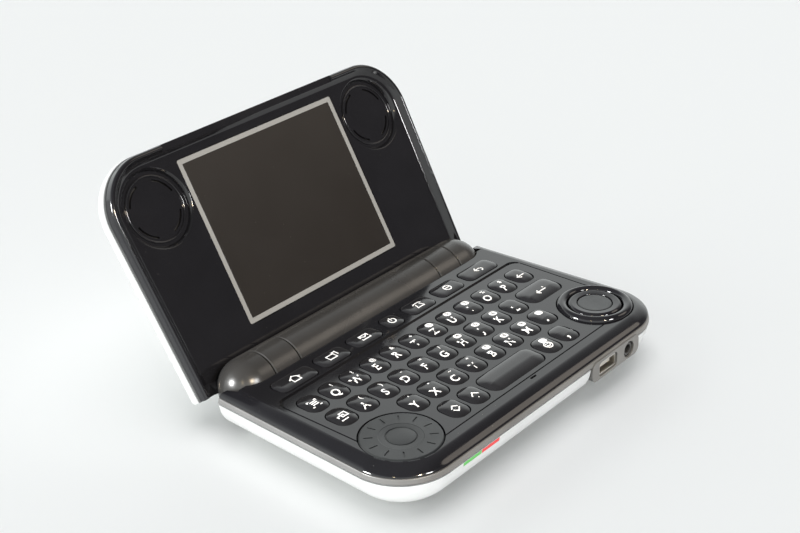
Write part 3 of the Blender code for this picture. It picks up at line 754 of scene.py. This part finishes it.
def add_panel_groove(bm):
    """The tool for the groove that frames the keys and the two round controls."""
    rings = []
    for inset, rear_inset in ((0.0, 0.0), PANEL_GROOVE):
        x = CORNER_X + PANEL_R - inset - PANEL_CORNER_R
        y = PANEL_REAR_Y - rear_inset - PANEL_CORNER_R
        outline = arc(x, y, PANEL_CORNER_R, 0, 90, 10) + arc(-x, y, PANEL_CORNER_R, 90, 180, 10)
        outline += arc(-CORNER_X, CORNER_Y, PANEL_R - inset, 180, 270, 20)
        outline += arc(CORNER_X, CORNER_Y, PANEL_R - inset, 270, 360, 20)
        rings.append(outline)
    outer, inner = rings
    floor = DECK_Z - PANEL_GROOVE_DEPTH
    above = DECK_Z + OVER / 2
    rings = [level(outer, floor), level(outer, above), level(inner, above), level(inner, floor)]
    add_loft(bm, rings, closed=True)


def make_band():
    """Grey band round the base, with the socket housing."""
    top = BAND_HIGH.z
    section = eased((
        (WALL_T, BAND_Z), (0.1, BAND_Z), (0.0, BAND_Z + 0.3), (0.3, top), (WALL_T, top),
    ), 0.2)
    rings = []
    for inset, z in section:
        short = REAR_STEP if inset > REAR_STEP else 0.0
        rings.append(level(case_outline(inset, EAR_Y - short), z))
    bm = bmesh.new()
    add_loft(bm, rings, closed=True)
    band = to_object(bm, "side_band")
    usb = middle("usb_socket")
    jack = middle("audio_jack")
    bm = bmesh.new()
    outline = rounded_rect(HOUSING_X, HOUSING_Z, HOUSING_W, HOUSING_H, HOUSING_R, 8)
    add_loft(bm, [upright(outline, BAND_LOW.y), upright(outline, BAND_LOW.y + HOUSING_DEPTH)])
    cut(band, bm, "UNION")
    bm = bmesh.new()
    usb_hole = rounded_rect(usb.x, usb.z, *USB_HOLE, 6)
    jack_hole = circle(jack.x, jack.z, JACK_HOLE_R, 48)
    for hole in (usb_hole, jack_hole):
        add_loft(bm, [upright(hole, BAND_LOW.y - OVER), upright(hole, BAND_LOW.y + SOCKET_DEPTH)])
    cut(band, bm)
    cut(band, trough(BASE_AXIS))
    soften(band, 0.12)
    settle(band, "base", [MATERIALS["band"]], ["base_side_frame"])


def make_shell():
    """White dished underside of the base."""
    outer = eased((
        (0.1, SHELL_TOP), (0.6, 8.4), (1.9, 6.0), (4.2, 3.8), (7.2, 1.9), (10.0, 0.6), (12.4, 0.0),
    ), 2.5, 6)
    rings = [
        level(case_outline(9.0, EAR_Y - 3.6), 1.6),
        level(case_outline(1.7, EAR_Y - REAR_STEP), SHELL_TOP),
    ]
    rings += [level(case_outline(inset, EAR_Y - 0.26 * inset), z) for inset, z in outer]
    bm = bmesh.new()
    add_loft(bm, rings)
    shell = to_object(bm, "lower_shell")
    low, high = box_mm("battery_cover")
    centre = (low + high) / 2
    width = high.x - low.x + 2 * GAP
    length = high.y - low.y + 2 * GAP
    opening = rounded_rect(centre.x, centre.y, width, length, 3.0, 8)
    bm = bmesh.new()
    add_loft(bm, [level(opening, -OVER), level(opening, 3)])
    half = HOUSING_W / 2 + GAP
    ends = (HOUSING_X - half, HOUSING_X + half)
    depth = (FRONT_Y - 3, FRONT_Y + HOUSING_DEPTH)
    add_block(bm, *ends, *depth, HOUSING_Z - HOUSING_H / 2 - GAP, BAND_Z + OVER)
    cut(shell, bm)
    cut(shell, trough(BASE_AXIS))
    soften(shell, 0.15)
    settle(shell, "base", [MATERIALS["white"]], ["base_lower_case"])


def make_battery_cover():
    """White cover in the underside, with its grip grooves."""
    low, high = box_mm("battery_cover")
    centre = (low + high) / 2
    size = high - low
    bm = bmesh.new()
    plan = rounded_rect(centre.x, centre.y, size.x, size.y, 2.7, 10)
    add_loft(bm, [level(plan, low.z), level(plan, high.z)])
    cover = to_object(bm, "battery_door")
    bm = bmesh.new()
    for i in range(GRIPS):
        y = high.y - GRIP_START - GRIP_PITCH * i
        groove = rounded_rect(centre.x, y, GRIP_LENGTH - GRIP_NARROWS * i, SLOT_W, SLOT_R, 4)
        add_loft(bm, [level(groove, low.z - OVER), level(groove, low.z + GRIP_DEPTH)])
    cut(cover, bm)
    soften(cover, 0.15)
    settle(cover, "base", [MATERIALS["white"]], ["battery_cover"])


def barrel_segment(start, end):
    """Section of a straight stretch of the barrel as (radius, place along the axis)."""
    return [
        (BORE_R, start), (BARREL_R - BARREL_EDGE, start), (BARREL_R, start + BARREL_EDGE),
        (BARREL_R, end - BARREL_EDGE), (BARREL_R - BARREL_EDGE, end), (BORE_R, end),
    ]


def make_knuckles():
    """Satin barrel segments that belong to the base."""
    for side, name in ((-1, "left"), (1, "right")):
        ends = sorted((side * KNUCKLE[0], side * KNUCKLE[1]))
        bm = bmesh.new()
        add_loft(bm, turned(barrel_segment(*ends), BASE_AXIS, "x"), closed=True)
        knuckle = to_object(bm, f"hinge_knuckle_{name}")
        settle(knuckle, "base", [MATERIALS["satin"]])


def make_socket_details():
    """Gold contacts on the socket tongue and a satin black rim in the audio socket."""
    usb = middle("usb_socket")
    low, _ = box_mm("usb_socket")
    bm = bmesh.new()
    for i in range(CONTACTS):
        x = usb.x + (i - CONTACTS // 2) * CONTACT_PITCH
        depth = [low.y + y for y in CONTACT_Y]
        add_block(bm, x - CONTACT_HALF, x + CONTACT_HALF, *depth, *[usb.z + z for z in CONTACT_Z])
    settle(to_object(bm, "usb_contacts"), "base", [MATERIALS["gold"]])
    jack = middle("audio_jack")
    low, _ = box_mm("audio_jack")
    profile = ((1.3, 0.9), (1.3, 0.1), (1.75, -0.02), (2.05, 0.1), (2.05, 0.9))
    bm = bmesh.new()
    rings = [upright(circle(jack.x, jack.z, r, 48), low.y + y) for r, y in profile]
    add_loft(bm, rings, closed=True)
    settle(to_object(bm, "audio_rim"), "base", [MATERIALS["satin"]])


def make_colour_strip():
    """Two small coloured bars on the front of the white shell."""
    for name, x0, x1 in STRIPS:
        bm = bmesh.new()
        rings = []
        for z, inset in STRIP_EDGES:
            y = FRONT_Y + inset + STRIP_SUNK
            rings.append([(x0, y, z), (x1, y, z), (x1, y + STRIP_T, z), (x0, y + STRIP_T, z)])
        add_loft(bm, rings)
        strip = to_object(bm, f"strip_{name}")
        soften(strip, 0.03)
        settle(strip, "base", [MATERIALS[name]])


# ---------------------------------------- round controls
TICKS = 12                      # marks round the wheel
TICK_R = 8.1
TICK = (2.4, 0.4, 0.19)         # length, width and corner radius
TICK_DEPTH = 0.25


def make_wheel():
    """Grey scroll wheel with its ticks and grooved centre disc."""
    top = WHEEL_HIGH.z
    profile = eased((
        (3.0, WHEEL_LOW.z), (3.0, 13.2), (DIAL_R - 0.4, 13.2), (DIAL_R, 13.6), (DIAL_R, top - 0.3),
        (DIAL_R - 0.35, top), (5.75, top), (5.65, top - 0.07), (4.05, top - 0.07), (4.0, top - 0.3),
        (3.75, top - 0.3), (3.7, top - 0.05), (0.4, top - 0.03),
    ), 0.1, 3)
    bm = bmesh.new()
    add_loft(bm, turned(profile, (0, 0)))
    wheel = to_object(bm, "thumb_wheel")
    bm = bmesh.new()
    for i in range(TICKS):
        turn = Matrix.Rotation(math.radians(360 / TICKS * (i + 0.5)), 2)
        tick = [tuple(turn @ Vector(p)) for p in rounded_rect(TICK_R, 0, *TICK, 3)]
        add_loft(bm, [level(tick, top - TICK_DEPTH), level(tick, top + OVER / 2)])
    cut(wheel, bm)
    centre = middle("scroll_wheel")
    put(wheel, centre.x, centre.y)
    settle(wheel, "scroll_wheel", [MATERIALS["dial"]], ["scroll_wheel"])


def make_ring():
    """Glossy four-way ring round the OK button."""
    top = RING_HIGH.z
    inner = OK_R + GAP
    profile = eased((
        (inner, RING_LOW.z), (inner, top - 0.75), (inner + 0.5, top - 0.3), (inner + 1.4, top),
        (DIAL_R - 0.5, top - 0.35), (DIAL_R, top - 1.0), (DIAL_R, RING_LOW.z),
    ), 0.5, 5)
    bm = bmesh.new()
    add_loft(bm, turned(profile, (0, 0)), closed=True)
    ring = to_object(bm, "four_way_ring")
    centre = middle("nav_ring")
    put(ring, centre.x, centre.y)
    settle(ring, "nav_ring", [MATERIALS["gloss"]], ["nav_ring"])


def make_ok():
    """OK button: a glossy collar round a matt grey disc."""
    top = OK_HIGH.z
    foot = OK_LOW.z + 0.1
    collar = eased((
        (5.0, top - 0.5), (5.1, top - 0.2), (OK_R - 0.8, top), (OK_R - 0.1, top - 0.45),
        (OK_R, top - 1.2), (OK_R, OK_LOW.z), (5.0, OK_LOW.z),
    ), 0.3)
    disc = eased((
        (0.3, foot), (4.8, foot), (4.85, top - 0.45), (4.5, top - 0.3), (0.3, top - 0.36),
    ), 0.2)
    centre = middle("ok_button")
    for name, profile, closed, look, slot in (
        ("ok_collar", collar, True, "gloss", "gloss_black"),
        ("ok_disc", disc, False, "dial", "dial_grey"),
    ):
        bm = bmesh.new()
        add_loft(bm, turned(profile, (0, 0)), closed=closed)
        piece = to_object(bm, name)
        put(piece, centre.x, centre.y)
        settle(piece, "ok_button", [MATERIALS[look]], ["ok_button"])


# ---------------------------------------- lid
SPEAKER_SLOTS = (20, 110, 200, 290)     # where each slot starts, in degrees
SLOT_TURN = 50
SLOT_RADII = (8.1, 7.5)
SPEAKER_R = 9.2
SPEAKER_Y = (2.35, 3.2)         # front and back of a speaker plate, behind the lid's face


def make_lid_face():
    """Gloss black inner half of the lid with its raised rim and recesses."""
    section = eased((
        (0.3, LID_SEAM_Y - GAP / 2), (0.3, CREST_Y + 0.6), (0.8, CREST_Y), (1.5, CREST_Y),
        (2.3, CREST_Y + 0.9), (3.4, FACE_Y - 0.05), (4.6, FACE_Y),
    ), 0.4)
    rings = [
        upright(lid_outline(2.8), FACE_Y + 2.2),
        upright(lid_outline(1.8), LID_SEAM_Y - GAP / 2),
    ]
    rings += [upright(lid_outline(inset), y) for inset, y in section]
    bm = bmesh.new()
    add_loft(bm, rings)
    face = to_object(bm, "lid_face")
    bm = bmesh.new()
    for side in (-1, 1):
        ends = sorted((side * (KNUCKLE[0] - GAP), side * (KNUCKLE[1] + GAP)))
        add_loft(bm, turned(((TROUGH_R, ends[0]), (TROUGH_R, ends[1])), LID_AXIS, "x"))
    height = SCREEN_Z[1] - SCREEN_Z[0]
    opening = rounded_rect(0, sum(SCREEN_Z) / 2, 2 * SCREEN_X, height, 0.8, 6)
    add_loft(bm, [upright(opening, FACE_Y - OVER), upright(opening, FACE_Y + 4)])
    for side in (-1, 1):
        wall = ((RECESS_R + 0.3, FACE_Y - 0.6), (RECESS_R + 0.25, FACE_Y),
                (RECESS_R, FACE_Y + 0.12), (RECESS_R - 0.45, FACE_Y + 0.6),
                (RECESS_R - 0.7, FACE_Y + RECESS_DEPTH))
        add_loft(bm, [upright(circle(side * CORNER_X, DIAL_Z, r), y) for r, y in wall])
    add_block(bm, *LIP_X, CREST_Y - OVER, CREST_Y + LIP_DEPTH, LID_TOP - LIP_REACH, LID_TOP + OVER)
    for side in (-1, 1):
        ends = sorted(side * x for x in EAR_RELIEF_X)
        add_block(bm, *ends, CREST_Y - OVER, FACE_Y + 0.05, 0.0, EAR_RELIEF_Z)
    cut(face, bm)
    bm = bmesh.new()
    for side in (-1, 1):
        for start in SPEAKER_SLOTS:
            end = start + SLOT_TURN
            slot = arc(side * CORNER_X, DIAL_Z, SLOT_RADII[0], start, end, 16)
            slot += arc(side * CORNER_X, DIAL_Z, SLOT_RADII[1], end, start, 16)
            add_loft(bm, [upright(slot, FACE_Y + 0.6), upright(slot, FACE_Y + 4)])
    cut(face, bm)
    soften(face, 0.14)
    settle(face, "lid", [MATERIALS["gloss"]], ["lid_front_bezel"], lid=True)


def make_speakers():
    """Dark plates behind the slots, and a fine raised ring round each recess floor."""
    for side, name in ((-1, "left"), (1, "right")):
        plan = circle(side * CORNER_X, DIAL_Z, SPEAKER_R)
        bm = bmesh.new()
        add_loft(bm, [upright(plan, FACE_Y + y) for y in SPEAKER_Y])
        plate = to_object(bm, f"speaker_{name}")
        settle(plate, "lid", [MATERIALS["black"]], lid=True)
        floor = FACE_Y + RECESS_DEPTH
        profile = ((8.75, floor + 0.05), (8.8, floor - 0.28), (9.1, floor - 0.4),
                   (9.4, floor - 0.28), (9.45, floor + 0.05))
        bm = bmesh.new()
        rings = [upright(circle(side * CORNER_X, DIAL_Z, r), y) for r, y in eased(profile, 0.2)]
        add_loft(bm, rings, closed=True)
        ring = to_object(bm, f"speaker_ring_{name}")
        settle(ring, "lid", [MATERIALS["gloss"]], lid=True)


def make_screen():
    """Window, the light border printed round it, and the panel behind."""
    centre = sum(SCREEN_Z) / 2
    width = 2 * (SCREEN_X - GAP / 2)
    height = SCREEN_Z[1] - SCREEN_Z[0] - GAP
    bm = bmesh.new()
    outer = rounded_rect(0, centre, width, height, 0.5, 4)
    inner = rounded_rect(0, centre, width - 2 * BORDER_W, height - 2 * BORDER_W, 0.3, 4)
    rings = [upright(outer, FACE_Y + 1.2), upright(outer, FACE_Y + 0.2)]
    rings += [upright(inner, FACE_Y + 0.2), upright(inner, FACE_Y + 1.2)]
    add_loft(bm, rings, closed=True)
    border = to_object(bm, "screen_border")
    soften(border, 0.06)
    settle(border, "lid", [MATERIALS["border"]], lid=True)
    bm = bmesh.new()
    inside = 2 * BORDER_W
    glass = rounded_rect(0, centre, width - inside - 0.1, height - inside - 0.1, 0.3, 4)
    panel = rounded_rect(0, centre, width + 2, height + 1, 0.8, 4)
    step = FACE_Y + 2.5
    add_loft(bm, [upright(glass, FACE_Y + 0.24), upright(glass, step), upright(panel, step),
                  upright(panel, step + 2.4)])
    window = to_object(bm, "screen_window")
    soften(window, 0.05)
    settle(window, "lid", [MATERIALS["screen"]], ["display_module"], lid=True)


def make_lid_cover():
    """White back of the lid with its thin grey edge band."""
    section = eased((
        (0.0, BACK_Y - 4.6), (0.6, BACK_Y - 2.7), (2.2, BACK_Y - 1.2), (4.6, BACK_Y - 0.35),
        (9.0, BACK_Y),
    ), 2.0, 6)
    seam = LID_SEAM_Y + 1.0
    rings = [upright(lid_outline(6.0), BACK_Y - 1.4), upright(lid_outline(1.8), BACK_Y - 4.2),
             upright(lid_outline(1.8), seam + 0.1), upright(lid_outline(0.1), seam + 0.1)]
    rings += [upright(lid_outline(inset), y) for inset, y in section]
    bm = bmesh.new()
    add_loft(bm, rings)
    cover = to_object(bm, "lid_cover")
    cut(cover, trough(LID_AXIS))
    soften(cover, 0.12)
    settle(cover, "lid", [MATERIALS["white"]], ["lid_rear_cover"], lid=True)
    low = LID_SEAM_Y + GAP / 2
    section = eased((
        (1.9, low), (0.3, low), (0.15, low + 0.2), (0.15, seam - 0.1), (1.9, seam - 0.1),
    ), 0.1)
    bm = bmesh.new()
    add_loft(bm, [upright(lid_outline(inset), y) for inset, y in section], closed=True)
    band = to_object(bm, "lid_band")
    cut(band, trough(LID_AXIS))
    settle(band, "lid", [MATERIALS["band"]], lid=True)


def make_barrel():
    """Satin barrel of the lid: the long middle and two rounded ends."""
    inner = KNUCKLE[0] - GAP
    bm = bmesh.new()
    add_loft(bm, turned(barrel_segment(-inner, inner), LID_AXIS, "x"), closed=True)
    settle(to_object(bm, "barrel_middle"), "lid", [MATERIALS["satin"]], lid=True)
    start = KNUCKLE[1] + GAP
    profile = [(BORE_R, BARREL_BEND)] + barrel_segment(start, BARREL_BEND)[:3] + barrel_tip()
    for side, name in ((-1, "left"), (1, "right")):
        bm = bmesh.new()
        mirrored = [(radius, side * along) for radius, along in profile]
        add_loft(bm, turned(mirrored, LID_AXIS, "x"))
        end = to_object(bm, f"barrel_end_{name}")
        settle(end, "lid", [MATERIALS["satin"]], lid=True)


# ---------------------------------------- carried-over nodes
INNER_LOOKS = {
    "battery_pack": "cell", "main_board": "board", "keypad_mat": "rubber", "usb_socket": "steel",
    "audio_jack": "black", "hinge_unit_left": "steel", "hinge_unit_right": "steel",
}


def dress_inner_nodes():
    """Materials for the nodes that stay as they are in the frame."""
    for node, look in INNER_LOOKS.items():
        for slot in frame["nodes"][node].material_slots:
            slot.link = "OBJECT"
            slot.material = MATERIALS[look]


# ---------------------------------------- stage, light and camera
FLOOR_SIZE = 6.0                # metres, from the middle to each side
FLOOR_COLOUR = (0.87, 0.875, 0.87, 1.0)


def make_floor():
    bm = bmesh.new()
    bmesh.ops.create_grid(bm, x_segments=1, y_segments=1, size=FLOOR_SIZE)
    mesh = bpy.data.meshes.new("floor")
    bm.to_mesh(mesh)
    bm.free()
    floor = bpy.data.objects.new("floor", mesh)
    bpy.context.scene.collection.objects.link(floor)
    material, _, shader = nodes_of("pale_floor")
    shader.inputs["Base Color"].default_value = FLOOR_COLOUR
    shader.inputs["Roughness"].default_value = 0.6
    shader.inputs["Specular IOR Level"].default_value = 0.2
    mesh.materials.append(material)


WHITE_ROOM = (0.98, 1.0, 0.995)
# direction, where along it the white starts to fade, where it is gone, and the colour there
ROOM_FADES = (
    (Vector((0.62, -0.74, 0.26)).normalized(), 0.45, 0.8, (0.11, 0.105, 0.115)),
    (Vector((0, 0, 1)), 0.55, 0.74, (0.16, 0.16, 0.17)),
)
ROOM_STRENGTH = 1.45


def make_world():
    """Bright studio all round, darker to the right of the camera and overhead."""
    bpy.context.scene.view_settings.view_transform = "Standard"
    world = bpy.data.worlds.new("studio")
    bpy.context.scene.world = world
    world.use_nodes = True
    tree = world.node_tree
    background = tree.nodes["Background"]
    coords = tree.nodes.new("ShaderNodeTexCoord")
    layers = []
    for axis, start, end, dark in ROOM_FADES:
        dot = tree.nodes.new("ShaderNodeVectorMath")
        dot.operation = "DOT_PRODUCT"
        dot.inputs[1].default_value = axis
        tree.links.new(coords.outputs["Generated"], dot.inputs[0])
        layers.append(ramp(tree, dot.outputs["Value"], ((start, WHITE_ROOM), (end, dark))))
    both = tree.nodes.new("ShaderNodeMix")
    both.data_type = "RGBA"
    both.blend_type = "MULTIPLY"
    both.inputs["Factor"].default_value = 1.0
    tree.links.new(layers[0], both.inputs["A"])
    tree.links.new(layers[1], both.inputs["B"])
    tree.links.new(both.outputs["Result"], background.inputs["Color"])
    background.inputs["Strength"].default_value = ROOM_STRENGTH


def area_light(name, place, size, power, colour, pieces):
    """A round light aimed at the object; it lights what its light group says."""
    data = bpy.data.lights.new(name, "AREA")
    data.shape = "DISK"
    data.size = size
    data.energy = power
    data.color = colour
    light = bpy.data.objects.new(name, data)
    bpy.context.scene.collection.objects.link(light)
    light.location = place
    light.rotation_euler = (Vector() - Vector(place)).to_track_quat("-Z", "Y").to_euler()
    light.light_linking.receiver_collection = pieces


WHITE = (1.0, 1.0, 1.0)
# name, direction seen from the object, size in metres, power in watts, colour
LAMPS = (
    ("lamp_white_left", (-0.82, 0.36, 0.4), 0.3, 26.0, WHITE),
    ("lamp_warm_left", (-0.69, -0.32, 0.63), 0.07, 0.9, (1.0, 0.8, 0.5)),
    ("lamp_warm_front", (-0.2, -0.7, 0.68), 0.1, 8.5, (1.0, 0.82, 0.6)),
    ("lamp_white_front", (0.03, -0.8, 0.6), 0.22, 7.5, WHITE),
    ("room_glow", (0.65, -0.42, 0.63), 0.5, 1.3, (1.0, 0.9, 0.78)),
)
LAMP_DISTANCE = 1.2
# place in metres, size in metres, power in watts
WASH = ((0, 0, 3.0), 3.0, 52)
FILL = ((-1.2, -1.0, 0.5), 1.2, 9)
PALE_PIECES = ("floor", "lower_shell", "battery_door", "lid_cover")
MATT_PIECES = ("lid_band", "thumb_wheel", "ok_disc")


def group(name, pieces, state="INCLUDE"):
    """A light group: the pieces a lamp lights, or the ones it leaves out."""
    collection = bpy.data.collections.new(name)
    for piece in pieces:
        collection.objects.link(bpy.data.objects[piece])
    for entry in collection.collection_objects:
        entry.light_linking.link_state = state
    return collection


def make_lights():
    """Small lamps make highlights on the black pieces; two broad ones light the pale ones."""
    left_out = group("not_for_lamps", PALE_PIECES + MATT_PIECES, "EXCLUDE")
    for name, direction, size, power, colour in LAMPS:
        place = Vector(direction).normalized() * LAMP_DISTANCE
        area_light(name, place, size, power, colour, left_out)
    area_light("pale_wash", *WASH, WHITE, group("washed", PALE_PIECES))
    area_light("pale_fill", *FILL, WHITE, group("filled", PALE_PIECES[1:]))


LENS = 68.6                     # focal length on a 36 mm sensor
CAMERA_PLACE = (-0.2773, -0.2280, 0.2211)
CAMERA_FORWARD = (0.6725, 0.5843, -0.4541)
CAMERA_ROLL = math.radians(-1.75)


def make_camera():
    data = bpy.data.cameras.new("camera")
    data.sensor_width = 36.0
    data.lens = LENS
    data.clip_start = 0.01
    camera = bpy.data.objects.new("camera", data)
    bpy.context.scene.collection.objects.link(camera)
    forward = Vector(CAMERA_FORWARD).normalized()
    right = forward.cross(Vector((0, 0, 1))).normalized()
    up = right.cross(forward)
    right_rolled = right * math.cos(CAMERA_ROLL) + up * math.sin(CAMERA_ROLL)
    up_rolled = up * math.cos(CAMERA_ROLL) - right * math.sin(CAMERA_ROLL)
    turn = Matrix((right_rolled, up_rolled, -forward)).transposed()
    camera.matrix_world = Matrix.Translation(CAMERA_PLACE) @ turn.to_4x4()
    bpy.context.scene.camera = camera


make_camera()
make_floor()
make_world()
make_deck()
make_band()
make_shell()
make_battery_cover()
make_knuckles()
make_socket_details()
make_colour_strip()
for key_node in key_nodes():
    make_key(key_node)
make_wheel()
make_ring()
make_ok()
make_lid_face()
make_speakers()
make_screen()
make_lid_cover()
make_barrel()
dress_inner_nodes()
make_lights()
